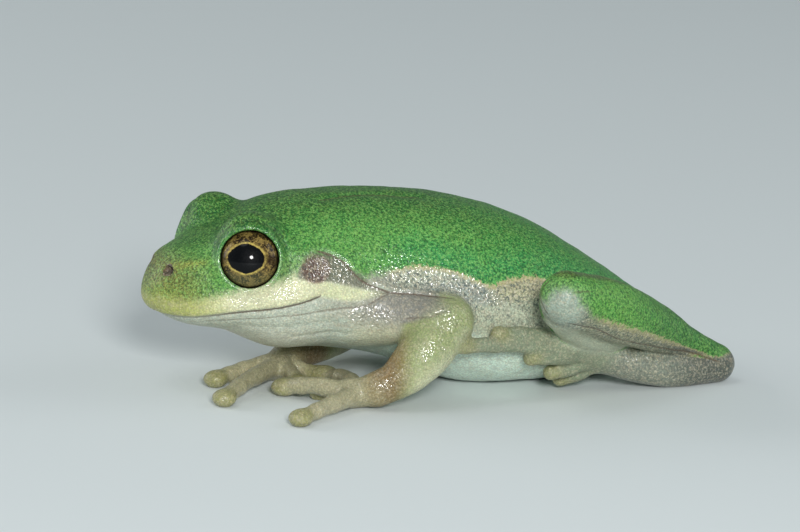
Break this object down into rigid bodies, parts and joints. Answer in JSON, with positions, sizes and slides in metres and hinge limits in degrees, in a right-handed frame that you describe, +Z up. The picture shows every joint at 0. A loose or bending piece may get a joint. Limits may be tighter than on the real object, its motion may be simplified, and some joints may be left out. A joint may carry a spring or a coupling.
{
  "type": "tree frog model",
  "caption": "Life-size still model of a squirrel treefrog at rest, belly and hands on the floor, hind legs folded.",
  "frame": {"origin": "middle of the footprint's bounding box, on the floor under the belly", "axes": "+Z up; the frog faces -Y, so +Y runs from the snout to the heels; +X is the frog's left side"},
  "size_m": [0.0282, 0.0368, 0.0119],
  "materials": {
    "green_skin": "fine granular moist skin, satin with small wet highlights",
    "pale_skin": "thin translucent skin, cream to olive, satin",
    "eye": "wet clear cornea over a golden-brown iris and a black pupil"
  },
  "bodies": {
    "root": {"eye_left": "eye", "eye_right": "eye", "head": "green_skin", "trunk": "green_skin", "shank_left": "green_skin", "thigh_left": "green_skin", "tarsus_left": "pale_skin", "foot_left": "pale_skin", "upper_arm_left": "pale_skin", "forearm_left": "pale_skin", "hand_left": "pale_skin", "shank_right": "green_skin", "thigh_right": "green_skin", "tarsus_right": "pale_skin", "foot_right": "pale_skin", "upper_arm_right": "pale_skin", "forearm_right": "pale_skin", "hand_right": "pale_skin", "finger_1_left": "pale_skin", "finger_2_left": "pale_skin", "finger_3_left": "pale_skin", "finger_4_left": "pale_skin", "toe_1_left": "pale_skin", "toe_2_left": "pale_skin", "toe_3_left": "pale_skin", "toe_4_left": "pale_skin", "toe_5_left": "pale_skin", "finger_1_right": "pale_skin", "finger_2_right": "pale_skin", "finger_3_right": "pale_skin", "finger_4_right": "pale_skin", "toe_1_right": "pale_skin", "toe_2_right": "pale_skin", "toe_3_right": "pale_skin", "toe_4_right": "pale_skin", "toe_5_right": "pale_skin"}
  },
  "joints": []
}
